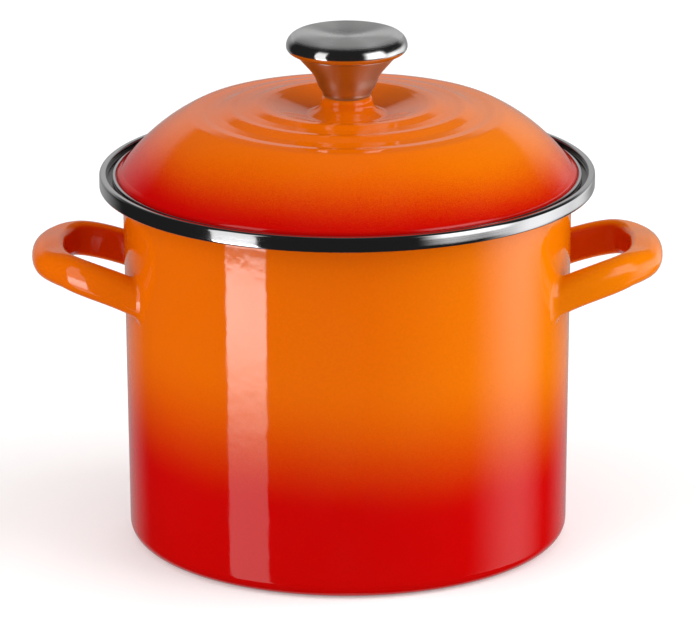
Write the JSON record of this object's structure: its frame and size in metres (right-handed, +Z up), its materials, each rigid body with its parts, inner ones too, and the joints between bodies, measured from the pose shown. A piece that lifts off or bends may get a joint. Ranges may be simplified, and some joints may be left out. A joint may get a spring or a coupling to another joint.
{
  "type": "lidded stockpot",
  "caption": "Straight-sided enamelled steel stockpot with welded loop handles, stainless rim, and a domed ringed lid with a screwed-on mushroom knob.",
  "frame": {"origin": "centre of the base, on the surface the pot stands on", "axes": "+Z up along the pot's axis, the two handles along X"},
  "size_m": [0.3156, 0.2472, 0.2589],
  "materials": {
    "enamel": "gloss vitreous enamel",
    "stainless_band": "polished",
    "stainless_knob": "fine turned",
    "fastener": "plain",
    "gasket": "matte"
  },
  "bodies": {
    "pot": {"pot_shell": "enamel", "pot_rim_band": "stainless_band", "handle_left": "enamel", "handle_right": "enamel"},
    "lid": {"lid_shell": "enamel", "lid_rim_band": "stainless_band", "knob_gasket": "gasket", "knob_stem": "stainless_knob", "knob_cap": "stainless_knob", "knob_insert": "fastener", "knob_washer": "fastener", "knob_lock_washer": "fastener", "knob_screw": "fastener"}
  },
  "joints": [
    {"name": "lid_lift", "type": "slide", "parent": "pot", "child": "lid", "axis": [0, 0, 1], "range_m": [0, 0.2]}
  ]
}
